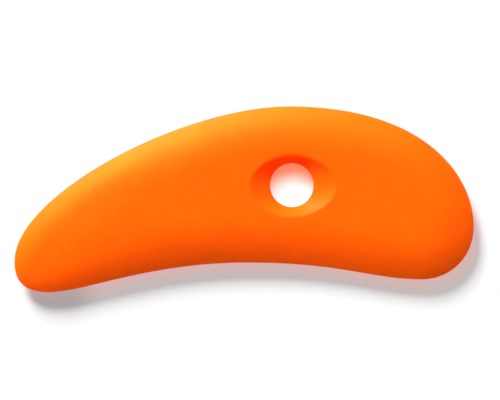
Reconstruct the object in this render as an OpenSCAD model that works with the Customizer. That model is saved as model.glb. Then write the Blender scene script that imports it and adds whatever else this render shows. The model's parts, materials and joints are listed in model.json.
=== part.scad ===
// Pottery rib: a soft silicone rib for pressing, curving and smoothing wet clay.
// It is one moulding: a crowned blade with a long convex back, a hollow belly,
// a broad rounded heel and a drooping nose. A finger hole goes through it, at the
// bottom of a dished grip on each face.
//
// The outline is a closed chain of smooth curves that meet where it runs level or
// upright: at the crest of the back, the end of the heel, the foot of the heel,
// the top of the belly, the chin under the nose and the tip of the nose.
// Origin: the centre of the finger hole, at half the thickness.
// +X points to the heel, +Y to the convex back and +Z along the hole.

/* [Outline] */
// Distance from the finger hole to the tip of the nose
nose_reach = 107.5; // [96:0.5:116]
// Height of the nose's tip below the finger hole
tip_drop = 29.5; // [26:0.5:33]
// Height of the chin, the lowest point of the nose, below the finger hole
chin_drop = 41.5; // [39:0.5:46]
// Distance from the finger hole back to the chin
chin_reach = 94.5; // [90:0.5:98]
// Height of the back above the finger hole
crest_rise = 30.5; // [28:0.5:36]
// Distance from the finger hole back to the crest
crest_reach = 1; // [-6:0.5:8]
// Distance from the finger hole to the end of the heel
heel_reach = 70.5; // [64:0.5:78]
// Height of the heel's end below the finger hole
heel_drop = 16; // [12:0.5:20]
// Height of the heel's foot below the finger hole
foot_drop = 36.5; // [34:0.5:42]
// Distance from the finger hole to the foot of the heel
foot_reach = 50.5; // [46:0.5:54]
// Height of the top of the belly below the finger hole
belly_drop = 30; // [26:0.5:32]
// Distance from the finger hole back to the top of the belly
belly_reach = 17; // [8:0.5:26]

/* [Fullness] */
// Pull of the curve up from the tip, which rounds the brow of the nose
brow_pull = 25.5; // [20:0.5:32]
// Pull of the crest towards the nose
fore_pull = 41.5; // [30:0.5:52]
// Pull of the crest towards the heel
aft_pull = 52.5; // [42:0.5:58]
// Pull of the heel's end upwards
shoulder_pull = 20; // [14:0.5:26]
// Pull of the heel's end downwards
heel_pull = 12.5; // [9:0.5:15]
// Pull of the heel's foot outwards
foot_out_pull = 10.5; // [8:0.5:14]
// Pull of the heel's foot inwards
foot_in_pull = 19.5; // [12:0.5:28]
// Pull of the belly towards the heel
belly_aft_pull = 36.5; // [26:0.5:44]
// Pull of the belly towards the nose
belly_fore_pull = 39; // [28:0.5:50]
// Pull of the chin towards the belly
chin_in_pull = 14.5; // [9:0.5:22]
// Pull of the chin towards the tip
chin_out_pull = 12.5; // [9:0.5:14]
// Pull of the curve down from the tip
tip_pull = 4; // [2:0.5:8]

/* [Crown] */
// Thickness over the two flat faces
thickness = 10; // [8:0.1:13]
// Thickness of the rounded edge
edge_t = 1.6; // [1.2:0.1:2.4]
// Width of the band in which each face falls away to the edge
roll_off = 17.4; // [14:0.1:18]
// Share of the local half width that the band may take in the narrow nose
nose_share = 0.9; // [0.8:0.01:0.94]

/* [Grip] */
// Diameter of the finger hole
hole_d = 17; // [14:0.1:19]
// Length of the hole's straight wall between the two dishes
land_t = 3; // [2:0.1:5]
// Length of the dish, along the blade
dish_l = 33.4; // [28:0.1:42]
// Width of the dish, across the blade
dish_w = 24.2; // [22:0.1:26]
// Radius of the roll between the face and the dish
rim_r = 2; // [1:0.1:3]

/* [Smoothness] */
// Longest step along the outline
outline_step = 3.6; // [2.4:0.1:6]
// Steps of the crown from the edge to the flat
crown_steps = 6; // [4:1:10]
// Sides of the dish
dish_sides = 64; // [40:4:96]

/* [Hidden] */
// Steps of the rounded edge, from the parting plane up to the crown
edge_steps = 3;
// Softness of the change from the band's full width to the narrowing one
band_blend = 3;
// Steps of the roll around the dish
rim_steps = 3;
// Share of the roll's last step by which the dish's cutter passes the face
rim_overrun = 0.1;
// How far cutters pass what they cut
over = 1;
// Facets of the finger hole in a preview; the hole itself is round
hole_sides = 96;
orange = [1, 0.43, 0.04];

half_t = thickness / 2;
edge_r = edge_t / 2;
hole_r = hole_d / 2;
half_land = land_t / 2;

// Outline: the points where it runs level or upright
tip = [-nose_reach, -tip_drop];
crest = [-crest_reach, crest_rise];
heel = [heel_reach, -heel_drop];
foot = [foot_reach, -foot_drop];
belly = [-belly_reach, -belly_drop];
chin = [-chin_reach, -chin_drop];
up = [0, 1];
aft = [1, 0];
// Each span runs from its first point to its last, pulled by the two between
spans = [
    [tip, tip + brow_pull * up, crest - fore_pull * aft, crest],
    [crest, crest + aft_pull * aft, heel + shoulder_pull * up, heel],
    [heel, heel - heel_pull * up, foot + foot_out_pull * aft, foot],
    [foot, foot - foot_in_pull * aft, belly + belly_aft_pull * aft, belly],
    [belly, belly - belly_fore_pull * aft, chin + chin_in_pull * aft, chin],
    [chin, chin - chin_out_pull * aft, tip - tip_pull * up, tip]
];

function curve_at(s, t) =
    pow(1 - t, 3) * s[0] + 3 * t * pow(1 - t, 2) * s[1] + 3 * t * t * (1 - t) * s[2] + pow(t, 3) * s[3];

function heading_at(s, t) =
    pow(1 - t, 2) * (s[1] - s[0]) + 2 * t * (1 - t) * (s[2] - s[1]) + t * t * (s[3] - s[2]);

// Enough equal steps that few are longer than outline_step
function span_steps(s) = ceil((norm(s[1] - s[0]) + norm(s[2] - s[1]) + norm(s[3] - s[2])) / outline_step);

places = [
    for (s = spans)
        let (n = span_steps(s))
        for (k = [0:n - 1]) [s, k / n]
];
count = len(places);
outline = [for (p = places) curve_at(p[0], p[1])];

function wrap(i) = (i + count) % count;

// The outline runs clockwise, so its inward side is on the right of its heading
inward = [
    for (p = places)
        let (d = heading_at(p[0], p[1]))
        [d.y, -d.x] / norm(d)
];

// Radius of the largest disc that touches the outline at point i from inside
function inner_disc(i) = min([
    for (j = [0:count - 1])
        let (v = outline[j] - outline[i], lean = inward[i] * v)
        if (j != i && lean > 0) v * v / (2 * lean)
]);

discs = [for (i = [0:count - 1]) inner_disc(i)];

// The smaller of two widths, with a soft change from one to the other
function soft_min(a, b) = min(a, b) - pow(max(0, band_blend - abs(a - b)), 2) / (4 * band_blend);

// Width of the band in which the face falls away to the edge, at each point
band = [for (d = discs) soft_min(roll_off, nose_share * d)];

// Slope of the crown where it leaves the rounded edge, the same all round
edge_angle = atan(2 * (half_t - edge_r) / roll_off);
edge_inset = edge_r * (1 - sin(edge_angle));
edge_rise = edge_r * cos(edge_angle);
crown_rise = half_t - edge_rise;

// One point of the upper skin: station 0 is the parting line, then come the steps
// of the rounded edge, then those of the crown, which levels out at its last
function skin_point(i, station) =
    station <= edge_steps
    ? let (a = (90 - edge_angle) * station / edge_steps)
        skin_at(i, edge_r * (1 - cos(a)), edge_r * sin(a))
    : let (
            w = (station - edge_steps) / crown_steps,
            run = band[i] - edge_inset,
            rise = crown_rise * run / (roll_off - edge_inset)
        )
        skin_at(i, edge_inset + run * w, edge_rise + rise * w * (2 - w));

function skin_at(i, inset, z) =
    let (p = outline[i] + inset * inward[i])
    [p.x, p.y, z];

last = edge_steps + crown_steps;
ring_count = 2 * last + 1;

// Rings of the skin from the lower flat, around the edge, to the upper flat
skin = [
    for (r = [-last:last], i = [0:count - 1])
        let (p = skin_point(i, abs(r)))
        [p.x, p.y, r < 0 ? -p.z : p.z]
];

skin_faces = [
    for (r = [0:ring_count - 2], i = [0:count - 1])
        let (a = r * count + i, b = r * count + wrap(i + 1))
        each [[a, b, a + count], [b, b + count, a + count]]
];

// The flat is closed by a zip of triangles between the back's side of the last
// ring and the belly's side, from its end in the nose to its end in the heel
flat_x = [for (i = [0:count - 1]) skin_point(i, last).x];
nose_end = search(min(flat_x), flat_x)[0];
heel_end = search(max(flat_x), flat_x)[0];
back_count = wrap(heel_end - nose_end);
belly_count = count - back_count;

function zip(a, b) =
    a == back_count && b == belly_count
    ? []
    : let (
            i = wrap(nose_end + a),
            j = wrap(nose_end + count - b),
            i_next = wrap(i + 1),
            j_next = wrap(j + count - 1),
            take_back = b == belly_count || (a < back_count && flat_x[i_next] < flat_x[j_next])
        )
        take_back
        ? concat(i == j || i_next == j ? [] : [[i, j, i_next]], zip(a + 1, b))
        : concat(i == j || i == j_next ? [] : [[i, j, j_next]], zip(a, b + 1));

flat_faces = zip(0, 0);

module blade() {
    top = (ring_count - 1) * count;
    polyhedron(
        points = skin,
        faces = concat(
            skin_faces,
            [for (f = flat_faces) [f[0], f[1], f[2]]],
            [for (f = flat_faces) [f[0] + top, f[2] + top, f[1] + top]]
        )
    );
}

// The dish is ruled from the hole's circle out and up to the ellipse of its rim
dish_depth = half_t - half_land;

// From the circle to the ellipse, at angle a
function ruling(a) = [(dish_l / 2 - hole_r) * cos(a), (dish_w / 2 - hole_r) * sin(a)];

// Slope of the dish's wall at angle a
function wall_angle(a) = atan(dish_depth / norm(ruling(a)));

// A point of the dish at angle a, a run out from the hole's wall and at height z
function dish_at(a, run, z) =
    let (p = hole_r * [cos(a), sin(a)] + run * ruling(a) / norm(ruling(a)))
    [p.x, p.y, z];

// A point on the wall's own slope, carried on into the hole
function wall_foot(a) = dish_at(a, -over, half_land - over * tan(wall_angle(a)));

// A point of the rim's roll, where turn is the slope that is left there
function rim_at(a, turn) =
    let (touch = rim_r * tan(wall_angle(a) / 2))
    dish_at(a, norm(ruling(a)) + touch - rim_r * sin(turn), half_t - rim_r * (1 - cos(turn)));

// The roll's last step, carried on so that the cut starts just above the face
function rim_top(a) =
    let (
        before = rim_at(a, wall_angle(a) / rim_steps),
        end = rim_at(a, 0)
    )
    end + rim_overrun * (end - before);

dish_angles = [for (k = [0:dish_sides - 1]) 360 * k / dish_sides];

dish_rings = [
    [for (a = dish_angles) wall_foot(a)],
    for (s = [rim_steps:-1:1]) [for (a = dish_angles) rim_at(a, wall_angle(a) * s / rim_steps)],
    [for (a = dish_angles) rim_top(a)],
    [for (a = dish_angles) [rim_top(a).x, rim_top(a).y, half_t + over]]
];

module dish() {
    n = dish_sides;
    top = (len(dish_rings) - 1) * n;
    polyhedron(
        points = [for (ring = dish_rings) each ring],
        faces = [
            for (r = [0:len(dish_rings) - 2], k = [0:n - 1])
                let (a = r * n + k, b = r * n + (k + 1) % n)
                each [[a, a + n, b], [b, a + n, b + n]],
            for (k = [1:n - 2]) [0, k, k + 1],
            for (k = [1:n - 2]) [top, top + k + 1, top + k]
        ]
    );
}

module finger_hole() {
    translate([0, 0, -half_t - over])
        cylinder(h = thickness + 2 * over, r = hole_r, $fn = hole_sides);
}

module rib() {
    color(orange)
    difference() {
        blade();
        dish();
        mirror([0, 0, 1]) dish();
        finger_hole();
    }
}

rib();
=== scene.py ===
"""A soft orange silicone pottery rib, lying on a white table and seen from straight above."""
import json
import math

import bpy
import numpy as np
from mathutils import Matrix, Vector
from mathutils.geometry import delaunay_2d_cdt


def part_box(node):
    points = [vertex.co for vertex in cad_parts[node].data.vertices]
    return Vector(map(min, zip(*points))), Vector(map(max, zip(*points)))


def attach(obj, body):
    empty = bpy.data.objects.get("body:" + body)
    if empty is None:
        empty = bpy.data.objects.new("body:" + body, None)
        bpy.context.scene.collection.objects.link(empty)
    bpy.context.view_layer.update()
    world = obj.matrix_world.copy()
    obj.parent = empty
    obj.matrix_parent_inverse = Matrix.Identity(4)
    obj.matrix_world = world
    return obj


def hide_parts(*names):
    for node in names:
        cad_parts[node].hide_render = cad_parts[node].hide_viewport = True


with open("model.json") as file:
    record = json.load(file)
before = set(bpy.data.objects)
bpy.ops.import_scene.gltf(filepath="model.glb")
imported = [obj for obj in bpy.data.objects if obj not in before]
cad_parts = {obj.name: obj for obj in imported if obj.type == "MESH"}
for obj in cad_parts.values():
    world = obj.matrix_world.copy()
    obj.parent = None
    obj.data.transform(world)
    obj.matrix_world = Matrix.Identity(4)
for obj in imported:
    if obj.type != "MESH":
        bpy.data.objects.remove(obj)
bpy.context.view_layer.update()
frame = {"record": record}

MM = 0.001

# Sizes that the frame gives, in millimetres
low, high = [np.array(corner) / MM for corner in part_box("rib")]
nose_reach = -low[0]
heel_reach = high[0]
crest_rise = high[1]
chin_drop = -low[1]
half_t = high[2]
hole_mount = next(m for m in frame["record"]["mounts"] if m["name"] == "finger_hole")
hole_r = hole_mount["dims"]["r_mm"]
half_land = hole_mount["dims"]["length_mm"] / 2

# Where the outline runs level or upright, in millimetres from the finger hole
tip_drop = 29.5
crest_reach = 1.0
heel_drop = 16.0
foot_reach = 50.5
foot_drop = 36.5
belly_reach = 17.0
belly_drop = 30.0
chin_reach = 94.5

# How far the outline's curves are pulled at those points
brow_pull = 25.5
fore_pull = 41.5
aft_pull = 52.5
shoulder_pull = 20.0
heel_pull = 12.5
foot_out_pull = 10.5
foot_in_pull = 19.5
belly_aft_pull = 36.5
belly_fore_pull = 39.0
chin_in_pull = 14.5
chin_out_pull = 12.5
tip_pull = 4.0

tip = np.array([-nose_reach, -tip_drop])
crest = np.array([-crest_reach, crest_rise])
heel = np.array([heel_reach, -heel_drop])
foot = np.array([foot_reach, -foot_drop])
belly = np.array([-belly_reach, -belly_drop])
chin = np.array([-chin_reach, -chin_drop])
up = np.array([0.0, 1.0])
aft = np.array([1.0, 0.0])
# Each span runs from its first point to its last, pulled by the two between
spans = [
    (tip, tip + brow_pull * up, crest - fore_pull * aft, crest),
    (crest, crest + aft_pull * aft, heel + shoulder_pull * up, heel),
    (heel, heel - heel_pull * up, foot + foot_out_pull * aft, foot),
    (foot, foot - foot_in_pull * aft, belly + belly_aft_pull * aft, belly),
    (belly, belly - belly_fore_pull * aft, chin + chin_in_pull * aft, chin),
    (chin, chin - chin_out_pull * aft, tip - tip_pull * up, tip),
]

# The rounded edge, and the band in which each face falls away to it
edge_r = 0.8
roll_off = 17.4
nose_share = 0.9
band_blend = 3.0
crown_power = 2.0

# The nose's crown is averaged over a disc, which grows to soft_r over soft_fade ahead of soft_from
soft_r = 9.0
soft_from = -40.0
soft_fade = 35.0
# The disc is no larger than a share of the way to the outline, less a margin, and none is tiny
soft_share = 0.75
soft_margin = 1.0
soft_least = 0.05

# The dish: its ellipse in the face, how far that lies from the hole's middle, and its rolled rim
dish_l = 33.2
dish_w = 23.0
dish_aft = 0.4
dish_down = 0.2
rim_r = 2.6
# The small roll where the dish meets the hole
lip_r = 0.35

# The seam that the two halves of the mould leave
seam_proud = 0.08
seam_half = 0.16
# In the hole it stands less proud
hole_seam_share = 0.6

# Fineness of the mesh
span_steps = 400
outline_points = 840
edge_steps = 6
crown_steps = 24
# Share of the band that the crown's rings cover; the flat mesh takes the rest
crown_share = 0.78
flat_step = 1.3
# Share of that step that the flat mesh's own points keep from the rings
flat_clear = 0.6
dish_points = 288
rim_steps = 8
wall_steps = 10
lip_steps = 5

# The soft key light: how far left of the picture's top, how high and how wide
key_left = math.radians(26)
key_height = math.radians(29)
key_width = math.radians(22)
key_energy = 6.23
# The even light from all round
surround_strength = 0.39
surround_colour = (1.0, 0.67, 0.65, 1)


def curve(span, t):
    a, b, c, d = span
    t = t[:, None]
    return (1 - t) ** 3 * a + 3 * t * (1 - t) ** 2 * b + 3 * t * t * (1 - t) * c + t ** 3 * d


def outline():
    """Evenly spaced points of the outline, clockwise, and their inward directions."""
    t = np.linspace(0, 1, span_steps, endpoint=False)
    dense = np.vstack([curve(span, t) for span in spans])
    closed = np.vstack([dense, dense[:1]])
    along = np.concatenate([[0], np.cumsum(np.hypot(*np.diff(closed, axis=0).T))])
    want = np.linspace(0, along[-1], outline_points, endpoint=False)
    points = np.column_stack([np.interp(want, along, closed[:, k]) for k in (0, 1)])
    step = np.roll(points, -1, axis=0) - np.roll(points, 1, axis=0)
    step /= np.hypot(*step.T)[:, None]
    return points, np.column_stack([step[:, 1], -step[:, 0]])


def even_out(values, reach):
    """A running average round the closed outline, weighted towards the middle."""
    weights = np.hanning(2 * reach + 3)[1:-1]
    total = sum(w * np.roll(values, k - reach) for k, w in enumerate(weights))
    return total / weights.sum()


def band_widths(points, inward):
    """Width of the band in which the face falls away: narrower where the blade is narrow."""
    least_lean = 1e-6
    too_close = 4
    average_reach = 12
    # The largest disc that touches the outline at a point and holds no other point of it
    reach = points[None, :, :] - points[:, None, :]
    lean = np.einsum("ijk,ik->ij", reach, inward)
    square = (reach ** 2).sum(axis=2)
    with np.errstate(divide="ignore", invalid="ignore"):
        disc = np.where(lean > least_lean, square / (2 * lean), np.inf)
    # Neighbours are too close to measure a disc by
    count = len(points)
    index = np.arange(count)
    for k in range(-too_close, too_close + 1):
        disc[index, (index + k) % count] = np.inf
    disc = even_out(disc.min(axis=1), average_reach)
    narrow = nose_share * disc
    blend = np.maximum(0, band_blend - abs(roll_off - narrow))
    return np.minimum(roll_off, narrow) - blend ** 2 / (4 * band_blend)


class Crown:
    """Height of the upper face: it falls away to the edge, and softly so in the nose."""

    def __init__(self, points, inward, band):
        self.points = points
        self.inward = inward
        self.band = band
        self.slope = math.atan(crown_power * (half_t - edge_r) / roll_off)
        self.edge_inset = edge_r * (1 - math.sin(self.slope))
        self.edge_rise = edge_r * math.cos(self.slope)
        # A disc of offsets, over which the nose's height is averaged
        self.spread = [np.zeros(2)]
        for radius, count, shift in ((0.5, 6, 0.0), (1.0, 12, 0.5)):
            for k in range(count):
                a = 2 * math.pi * (k + shift) / count
                self.spread.append(radius * np.array([math.cos(a), math.sin(a)]))

    def plain(self, xy):
        """Height and distance from the outline, without the softening."""
        height = np.empty(len(xy))
        depth = np.empty(len(xy))
        block = 2000
        for start in range(0, len(xy), block):
            part = xy[start:start + block]
            square = ((part[:, None, :] - self.points[None, :, :]) ** 2).sum(axis=2)
            painted_shade_mask = square.argmin(axis=1)
            inset = ((part - self.points[painted_shade_mask]) * self.inward[painted_shade_mask]).sum(axis=1)
            run = self.band[painted_shade_mask] - self.edge_inset
            w = np.clip((inset - self.edge_inset) / run, 0, 1)
            rise = (half_t - self.edge_rise) * run / (roll_off - self.edge_inset)
            height[start:start + block] = self.edge_rise + rise * (1 - (1 - w) ** crown_power)
            depth[start:start + block] = inset
        return height, depth

    def height(self, xy):
        height, depth = self.plain(xy)
        nose = np.clip((soft_from - xy[:, 0]) / soft_fade, 0, 1)
        room = soft_share * np.maximum(depth - soft_margin, 0)
        radius = nose * np.minimum(soft_r, room)
        soft = radius > soft_least
        if soft.any():
            total = np.zeros(soft.sum())
            for offset in self.spread:
                total += self.plain(xy[soft] + radius[soft, None] * offset)[0]
            height[soft] = total / len(self.spread)
        return height


class Skin:
    """Vertices and faces of the upper half, and then of its mirror image below."""

    def __init__(self):
        self.points = []
        self.faces = []

    def ring(self, xyz):
        start = len(self.points)
        self.points.extend(map(tuple, xyz))
        return list(range(start, start + len(xyz)))

    def strip(self, first, second):
        n = len(first)
        for i in range(n):
            j = (i + 1) % n
            self.faces.append((first[i], first[j], second[j], second[i]))

    def mirror(self, shared):
        """Adds the lower half, which shares the given vertices with the upper one."""
        image = {}
        for i in range(len(self.points)):
            if i in shared:
                image[i] = i
            else:
                image[i] = len(self.points)
                x, y, z = self.points[i]
                self.points.append((x, y, -z))
        self.faces += [tuple(image[i] for i in reversed(face)) for face in list(self.faces)]


def blade_rings(skin, crown):
    """From the seam round the edge and up the crown, short of where it lies flat."""
    points, inward = crown.points, crown.inward

    def at(inset, z):
        xy = points + np.reshape(inset, (-1, 1)) * inward
        return np.column_stack([xy, np.broadcast_to(z, len(xy))])

    seam = skin.ring(at(np.zeros(len(points)), 0.0))
    rings = [seam]
    # The seam stands a little proud of the rounded edge
    for part in (0.5, 1.0):
        drop = seam_proud * math.sin(part * math.pi / 2) ** 2
        rings.append(skin.ring(at(np.full(len(points), drop), seam_half * part)))
    first = math.asin(seam_half / edge_r)
    for k in range(1, edge_steps + 1):
        a = first + (math.pi / 2 - crown.slope - first) * k / edge_steps
        fade = seam_proud * (1 - k / edge_steps)
        inset = edge_r * (1 - math.cos(a)) + fade * math.cos(a)
        rings.append(skin.ring(at(np.full(len(points), inset), edge_r * math.sin(a))))
    for k in range(1, crown_steps + 1):
        inset = crown.edge_inset + (crown.band - crown.edge_inset) * crown_share * k / crown_steps
        ring = at(inset, 0.0)
        ring[:, 2] = crown.height(ring[:, :2])
        rings.append(skin.ring(ring))
    for outer, inner in zip(rings, rings[1:]):
        skin.strip(inner, outer)
    return seam, rings[-1]


def dish_rings(skin, crown):
    """From the face over the rim's roll, down the wall and the hole to the seam."""
    a = np.linspace(0, 2 * math.pi, dish_points, endpoint=False)
    circle = np.column_stack([np.cos(a), np.sin(a)])
    ruling = circle * [dish_l / 2 - hole_r, dish_w / 2 - hole_r] + [dish_aft, -dish_down]
    length = np.hypot(*ruling.T)
    out = ruling / length[:, None]
    wall = np.arctan2(half_t - half_land, length)

    def at(run, z):
        xy = hole_r * circle + np.reshape(run, (-1, 1)) * out
        return np.column_stack([xy, np.broadcast_to(z, len(xy))])

    rings = []
    touch = rim_r * np.tan(wall / 2)
    for k in range(rim_steps + 1):
        turn = wall * k / rim_steps
        run = length + touch - rim_r * np.sin(turn)
        rings.append(at(run, half_t - rim_r * (1 - np.cos(turn))))
    # The lip rolls from the wall's slope to upright, round a small radius
    lip_touch = lip_r * np.tan((math.pi / 2 - wall) / 2)
    top_run = length - touch * np.cos(wall)
    end_run = lip_touch * np.cos(wall)
    for k in range(1, wall_steps + 1):
        run = top_run + (end_run - top_run) * k / wall_steps
        rings.append(at(run, half_land + run * np.tan(wall)))
    lip_end = half_land - lip_touch
    for k in range(1, lip_steps + 1):
        turn = wall + (math.pi / 2 - wall) * k / lip_steps
        run = lip_r - lip_r * np.sin(turn)
        rings.append(at(run, lip_end + lip_r * np.cos(turn)))
    # The hole's upright wall, and the seam that stands proud of it
    upright = np.zeros(dish_points)
    for share in (0.6, 0.3):
        rings.append(at(upright, lip_end * share + seam_half * (1 - share)))
    rings.append(at(upright, np.full(dish_points, seam_half * 0.5)))
    rings.append(at(upright - seam_proud * hole_seam_share, np.zeros(dish_points)))
    # Where the crown still falls away at the rim, the rim sinks with it
    sunk = half_t - crown.height(rings[0][:, :2])
    for k in range(rim_steps + wall_steps):
        rings[k][:, 2] -= sunk * min(1, (rim_steps + wall_steps - k) / wall_steps)
    indices = [skin.ring(r) for r in rings]
    for outer, inner in zip(indices, indices[1:]):
        skin.strip(outer, inner)
    return indices[0], indices[-1]


def flat(skin, crown, outer, rim):
    """Fills the face between the crown's last ring and the rim of the dish."""
    tolerance = 1e-7
    ring = np.array([skin.points[i] for i in outer])
    oval = np.array([skin.points[i] for i in rim])
    xs = np.arange(ring[:, 0].min(), ring[:, 0].max(), flat_step)
    ys = np.arange(ring[:, 1].min(), ring[:, 1].max(), flat_step)
    grid = np.array([(x + flat_step / 2 * (k % 2), y) for k, y in enumerate(ys) for x in xs])
    edges = np.vstack([ring[:, :2], oval[:, :2]])
    clear = np.array([np.hypot(*(edges - g).T).min() for g in grid]) > flat_step * flat_clear
    grid = grid[clear]
    keep = inside(grid, ring[:, :2]) & ~inside(grid, oval[:, :2])
    grid = grid[keep]
    inner = skin.ring(np.column_stack([grid, crown.height(grid)]))
    members = list(outer) + list(rim) + list(inner)
    flat_points = [Vector(skin.points[i][:2]) for i in members]
    n, m = len(outer), len(rim)
    borders = [(k, (k + 1) % n) for k in range(n)]
    borders += [(n + k, n + (k + 1) % m) for k in range(m)]
    verts, _, faces, origin, _, _ = delaunay_2d_cdt(flat_points, borders, [], 0, tolerance)
    centres = np.array([np.mean([verts[i] for i in f], axis=0) for f in faces])
    shown = inside(centres, ring[:, :2]) & ~inside(centres, oval[:, :2])
    for face, ok in zip(faces, shown):
        if ok:
            skin.faces.append(tuple(members[origin[i][0]] for i in face))


def inside(points, loop):
    """Which points lie inside a closed loop, by counting crossings."""
    # Keeps a level side of the loop from dividing by nothing
    tiny = 1e-300
    after = np.roll(loop, -1, axis=0)
    result = np.zeros(len(points), bool)
    for a, b in zip(loop, after):
        span = (a[1] > points[:, 1]) != (b[1] > points[:, 1])
        if span.any():
            cross = a[0] + (points[:, 1] - a[1]) * (b[0] - a[0]) / (b[1] - a[1] + tiny)
            result ^= span & (points[:, 0] < cross)
    return result


class Look:
    """A material, with short ways to add the nodes that both materials use."""

    def __init__(self, name):
        self.material = bpy.data.materials.new(name)
        self.material.use_nodes = True
        self.nodes = self.material.node_tree.nodes
        self.links = self.material.node_tree.links
        self.shader = self.nodes["Principled BSDF"]
        self.place = self.nodes.new("ShaderNodeTexCoord")

    def feed(self, socket, value):
        """Sets a socket to a constant, or links it to another node's output."""
        if isinstance(value, bpy.types.NodeSocket):
            self.links.new(value, socket)
        else:
            socket.default_value = value

    def maths(self, operation, first, second):
        node = self.nodes.new("ShaderNodeMath")
        node.operation = operation
        self.feed(node.inputs[0], first)
        self.feed(node.inputs[1], second)
        return node.outputs[0]

    def product(self, first, second):
        return self.maths("MULTIPLY", first, second)

    def mixed(self, factor, first, second):
        """The first colour at a factor of 0, and the second at 1."""
        node = self.nodes.new("ShaderNodeMix")
        node.data_type = "RGBA"
        # The sockets for colours come after those for numbers and vectors
        for k, value in ((0, factor), (6, first), (7, second)):
            self.feed(node.inputs[k], value)
        return node.outputs[2]

    def spread(self, value, start, end, at_start=0.0, at_end=1.0, ease="LINEAR"):
        """Goes from one number to another as a value goes from start to end."""
        node = self.nodes.new("ShaderNodeMapRange")
        node.interpolation_type = ease
        node.inputs["From Min"].default_value = start
        node.inputs["From Max"].default_value = end
        node.inputs["To Min"].default_value = at_start
        node.inputs["To Max"].default_value = at_end
        self.feed(node.inputs["Value"], value)
        return node.outputs["Result"]

    def noise(self, scale, detail):
        node = self.nodes.new("ShaderNodeTexNoise")
        node.inputs["Scale"].default_value = scale
        node.inputs["Detail"].default_value = detail
        self.feed(node.inputs["Vector"], self.place.outputs["Object"])
        return node.outputs["Fac"]

    def split(self, vector):
        node = self.nodes.new("ShaderNodeSeparateXYZ")
        self.feed(node.inputs[0], vector)
        return node.outputs

    def away(self, centre, start, end, ease="LINEAR"):
        """From 0 to 1 as the distance from a centre goes from start to end, in mm and from above."""
        offset = self.nodes.new("ShaderNodeVectorMath")
        offset.operation = "MULTIPLY_ADD"
        self.feed(offset.inputs[0], self.place.outputs["Object"])
        offset.inputs[1].default_value = (1, 1, 0)
        offset.inputs[2].default_value = (-centre[0] * MM, -centre[1] * MM, 0)
        length = self.nodes.new("ShaderNodeVectorMath")
        length.operation = "LENGTH"
        self.feed(length.inputs[0], offset.outputs[0])
        return self.spread(length.outputs["Value"], start * MM, end * MM, ease=ease)

    def bump(self, height, strength, depth, over=None):
        """Small relief from a height, over another one where that is given."""
        node = self.nodes.new("ShaderNodeBump")
        node.inputs["Strength"].default_value = strength
        node.inputs["Distance"].default_value = depth * MM
        self.feed(node.inputs["Height"], height)
        if over is not None:
            self.feed(node.inputs["Normal"], over)
        return node.outputs["Normal"]


def silicone():
    """Matte orange silicone: light goes some way in, and red goes furthest."""
    look = Look("orange_silicone")
    shader = look.shader
    shader.subsurface_method = "BURLEY"
    shader.inputs["Subsurface Weight"].default_value = 1.0
    shader.inputs["Subsurface Radius"].default_value = (1.0, 0.05, 0.03)
    shader.inputs["Subsurface Scale"].default_value = 0.03
    shader.inputs["IOR"].default_value = 1.58
    shader.inputs["Specular IOR Level"].default_value = 1.0
    shader.inputs["Specular Tint"].default_value = (1.0, 1.0, 0.0, 1)
    shader.inputs["Coat Weight"].default_value = 0.1
    shader.inputs["Coat Roughness"].default_value = 0.45
    x, y, z = look.split(look.place.outputs["Object"])
    rubbed = rubbed_edge(look, z)
    speck = dust_specks(look)
    look.feed(shader.inputs["Base Color"], pigment(look, rubbed, speck))
    look.feed(shader.inputs["Roughness"], matte(look, x, y, look.maths("MAXIMUM", rubbed, speck)))
    # The mould's fine sand-blasted grain, with faint long ripples
    grain = look.bump(look.noise(scale=3200, detail=2), strength=0.3, depth=0.04)
    ripple = look.bump(look.noise(scale=160, detail=2), strength=0.2, depth=0.2, over=grain)
    look.feed(shader.inputs["Normal"], ripple)
    return look.material


def rubbed_edge(look, z):
    """Wear: the thin edge is rubbed in patches."""
    height = look.maths("ABSOLUTE", z, 0.0)
    edge = look.spread(height, 0.6 * MM, 1.6 * MM, at_start=1.0, at_end=0.0)
    patches = look.spread(look.noise(scale=90, detail=4), 0.45, 0.7)
    return look.product(edge, patches)


def dust_specks(look):
    """A few specks of dust, each in its own cell."""
    cells = look.nodes.new("ShaderNodeTexVoronoi")
    cells.inputs["Scale"].default_value = 150
    look.feed(cells.inputs["Vector"], look.place.outputs["Object"])
    dot = look.spread(cells.outputs["Distance"], 0.02, 0.05, at_start=1.0, at_end=0.0)
    few = look.spread(look.split(cells.outputs["Color"])["X"], 0.8, 0.95)
    return look.product(dot, few)


def pigment(look, rubbed, speck):
    """Very slightly uneven orange, paler where the edge is rubbed and at the specks."""
    deep = (0.985, 0.0635, 0.0, 1)
    bright = (1.0, 0.0715, 0.0, 1)
    rubbed_orange = (1.0, 0.16, 0.01, 1)
    dust = (1.0, 0.35, 0.12, 1)
    rubbed_strength = 0.35
    dust_strength = 0.5
    clouds = look.product(look.noise(scale=55, detail=3), 0.7)
    wisps = look.product(look.noise(scale=420, detail=3), 0.3)
    cloudy = look.spread(look.maths("ADD", clouds, wisps), 0.35, 0.65)
    tint = look.mixed(cloudy, deep, bright)
    tint = look.mixed(look.product(rubbed, rubbed_strength), tint, rubbed_orange)
    return look.mixed(look.product(speck, dust_strength), tint, dust)


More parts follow.
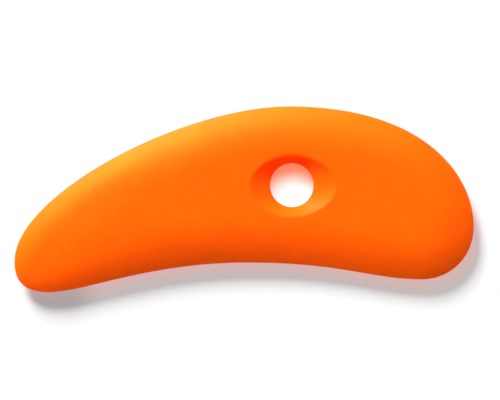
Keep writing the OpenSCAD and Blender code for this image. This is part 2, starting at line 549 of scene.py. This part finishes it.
def matte(look, x, y, worn):
    """Roughness: most on the flat faces and in the dish, with faint patches from handling."""
    sloping = math.cos(math.radians(20))
    level = math.cos(math.radians(1))
    dish_ends = 15 * MM
    face_starts = 17.5 * MM
    more_on_face = 0.16
    more_in_dish = 0.12
    more_where_worn = 0.12
    upright = look.maths("ABSOLUTE", look.split(look.place.outputs["Normal"])["Z"], 0.0)
    face = look.spread(upright, sloping, level, at_end=more_on_face)
    # By the square of the distance from the hole's axis
    square = look.maths("ADD", look.product(x, x), look.product(y, y))
    dish = look.spread(square, dish_ends ** 2, face_starts ** 2, at_start=more_in_dish, at_end=0.0)
    patches = look.spread(look.noise(scale=140, detail=4), 0.3, 0.7, at_start=0.62, at_end=0.68)
    rough = look.maths("ADD", patches, look.maths("MAXIMUM", face, dish))
    return look.maths("ADD", rough, look.product(worn, more_where_worn))


def build_rib():
    skin = Skin()
    points, inward = outline()
    crown = Crown(points, inward, band_widths(points, inward))
    seam, outer = blade_rings(skin, crown)
    rim, hole_seam = dish_rings(skin, crown)
    flat(skin, crown, outer, rim)
    skin.mirror(set(seam) | set(hole_seam))
    mesh = bpy.data.meshes.new("silicone_rib")
    mesh.from_pydata([tuple(c * MM for c in p) for p in skin.points], [], skin.faces)
    mesh.validate()
    mesh.update()
    mesh.polygons.foreach_set("use_smooth", [True] * len(mesh.polygons))
    mesh.materials.append(silicone())
    rib = bpy.data.objects.new("silicone_rib", mesh)
    bpy.context.collection.objects.link(rib)
    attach(rib, "root")
    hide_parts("rib")


def table_top():
    """White paper that the lens sees as pure white, with the rib's cast shadow on it, deepened and
    tinted with painted shade and glow.
    """
    half_side = 3.0
    below_rib = 0.02
    z = (low[2] - below_rib) * MM
    corners = [(-half_side, -half_side, z), (half_side, -half_side, z)]
    corners += [(half_side, half_side, z), (-half_side, half_side, z)]
    mesh = bpy.data.meshes.new("table_top")
    mesh.from_pydata(corners, [], [(0, 1, 2, 3)])
    mesh.materials.append(paper())
    top = bpy.data.objects.new("table_top", mesh)
    bpy.context.collection.objects.link(top)


def paper():
    """Paper that is bright by itself to the lens, and plain white to the rib, with painted shade, glow
    and light near the rib, at the nose and in the hole.
    """
    look = Look("white_table")
    shader = look.shader
    shader.inputs["Roughness"].default_value = 0.9
    shader.inputs["Specular IOR Level"].default_value = 0.0
    path = look.nodes.new("ShaderNodeLightPath")
    seen = look.maths("MAXIMUM", path.outputs["Is Camera Ray"], path.outputs["Is Glossy Ray"])
    seen = look.maths("MAXIMUM", seen, path.outputs["Is Transmission Ray"])
    # In the hole and at the nose the paper carries painted light and shadow, within these distances in
    # millimetres
    hole_ends = hole_r + 0.5
    rib_starts = hole_r + 4
    nose_centre = (-nose_reach, -chin_drop - 5)
    nose_ends = 20
    blade_starts = 36
    outside_painted_hole = look.away((0, 0), hole_ends, rib_starts)
    past_painted_nose_shadow = look.away(nose_centre, nose_ends, blade_starts, "SMOOTHSTEP")
    look.feed(shader.inputs["Base Color"], paper_colour_with_painted_shade(look, seen, outside_painted_hole, past_painted_nose_shadow))
    look.feed(shader.inputs["Emission Color"], glow_and_painted_shade(look, outside_painted_hole, past_painted_nose_shadow))
    look.feed(shader.inputs["Emission Strength"], seen)
    # From below the table can be looked through
    side = look.nodes.new("ShaderNodeNewGeometry")
    clear = look.nodes.new("ShaderNodeBsdfTransparent")
    either = look.nodes.new("ShaderNodeMixShader")
    look.feed(either.inputs[0], side.outputs["Backfacing"])
    look.feed(either.inputs[1], shader.outputs[0])
    look.feed(either.inputs[2], clear.outputs[0])
    look.feed(look.nodes["Material Output"].inputs["Surface"], either.outputs[0])
    return look.material


def paper_colour_with_painted_shade(look, seen, outside_painted_hole, past_painted_nose_shadow):
    """How much of the light the paper gives back, which sets how dark the shadow is; it is raised at the
    nose to paint the shadow darker there, and lowered in the hole, where painted light and shadow take
    over.
    """
    to_the_rib = (0.8, 0.8, 0.8, 1)
    # Painted shade: low in the hole under its painted light, and high at the nose for its darker painted
    # shadow
    in_painted_hole = (0.3, 0.3, 0.3, 1)
    at_painted_nose_shadow = (0.65, 0.66, 0.66, 1)
    along_rib = (0.52, 0.565, 0.565, 1)
    paper_with_painted_nose_shadow = look.mixed(past_painted_nose_shadow, at_painted_nose_shadow, along_rib)
    return look.mixed(seen, to_the_rib, look.mixed(outside_painted_hole, in_painted_hole, paper_with_painted_nose_shadow))


def glow_and_painted_shade(look, outside_painted_hole, past_painted_nose_shadow):
    """The paper's own light: even white in the open, with painted shade under the rib, a painted orange
    glow beside it, a painted darker shadow at the nose, and painted light and red shadow in the hole.
    """
    # Painted shade under the rib, and the painted orange glow beside it
    painted_shade_under = (0.12, 0.04, 0.03, 1)
    # The nose's painted darker, grey shadow, and the paper beside it
    painted_nose_shadow = (0.27, 0.263, 0.256, 1)
    open_by_painted_nose_shadow = (0.141, 0.209, 0.216, 1)
    painted_orange_beside_rib = (0.583, 0.355, 0.346, 1)
    rib_open = (0.333, 0.36, 0.361, 1)
    # The hole's painted light, and its painted red shadow
    hole_painted_light = (0.785, 0.945, 0.913, 1)
    hole_painted_red_shadow = (1.018, 0.209, 0.088, 1)
    # The middle of the hole's painted light, and how far from it in millimetres the painted red shadow
    # starts and is full
    painted_light_centre = (1.0, -8.3)
    red_starts = 6.8
    red_full = 15.2
    # How far the painted shade and glow beside the rib reach, and where on the ramp the glow is full
    rib_effect = 8 * MM
    beside_at = 0.5
    painted_shade_mask = look.nodes.new("ShaderNodeAmbientOcclusion")
    painted_shade_mask.inputs["Distance"].default_value = rib_effect

    def painted_glow_ramp(painted_beside, in_the_open):
        """Painted shade right under the rib and a painted orange glow beside it, set by how near the rib
        is.
        """
        ramp = look.nodes.new("ShaderNodeValToRGB")
        ramp.color_ramp.elements[0].color = painted_shade_under
        ramp.color_ramp.elements[1].color = in_the_open
        ramp.color_ramp.elements.new(beside_at).color = painted_beside
        look.feed(ramp.inputs["Fac"], painted_shade_mask.outputs["AO"])
        return ramp.outputs["Color"]

    # At the nose the shadow is painted darker and grey
    painted_glow_round_rib = look.mixed(past_painted_nose_shadow, painted_glow_ramp(painted_nose_shadow, open_by_painted_nose_shadow), painted_glow_ramp(painted_orange_beside_rib, rib_open))
    # In the hole, painted light, and a painted red shadow on the side towards the lamp
    painted_shadow_side = look.away(painted_light_centre, red_starts, red_full, "SMOOTHSTEP")
    hole_painted_light_and_shadow = look.mixed(painted_shadow_side, hole_painted_light, hole_painted_red_shadow)
    return look.mixed(outside_painted_hole, hole_painted_light_and_shadow, painted_glow_round_rib)


def lights():
    """A soft key from the upper left of the picture and an even, warm surround."""
    sun = bpy.data.lights.new("key", "SUN")
    sun.angle = key_width
    sun.energy = key_energy
    key = bpy.data.objects.new("key", sun)
    towards = Vector((
        -math.sin(key_left) * math.cos(key_height),
        math.cos(key_left) * math.cos(key_height),
        math.sin(key_height),
    ))
    key.rotation_mode = "QUATERNION"
    key.rotation_quaternion = towards.to_track_quat("Z", "Y")
    key.location = towards
    bpy.context.collection.objects.link(key)

    world = bpy.data.worlds.new("surround")
    bpy.context.scene.world = world
    world.use_nodes = True
    back = world.node_tree.nodes["Background"]
    back.inputs["Strength"].default_value = surround_strength
    back.inputs["Color"].default_value = surround_colour


def camera():
    """Straight down, with the finger hole at its place in the photograph."""
    hole_px = (291.8, 185.18)
    frame_px = (500, 400)
    rib_px = 459.2
    mm_per_px = (nose_reach + heel_reach) / rib_px
    distance = 1.2
    sensor = 36
    data = bpy.data.cameras.new("camera")
    data.sensor_fit = "HORIZONTAL"
    data.sensor_width = sensor
    data.lens = sensor * distance / (frame_px[0] * mm_per_px * MM)
    data.clip_start = 0.01
    data.clip_end = 20
    cam = bpy.data.objects.new("camera", data)
    x = (frame_px[0] / 2 - hole_px[0]) * mm_per_px * MM
    y = (hole_px[1] - frame_px[1] / 2) * mm_per_px * MM
    cam.location = (x, y, distance)
    bpy.context.collection.objects.link(cam)
    bpy.context.scene.camera = cam


camera()
build_rib()
table_top()
lights()
bpy.context.scene.view_settings.view_transform = "Standard"
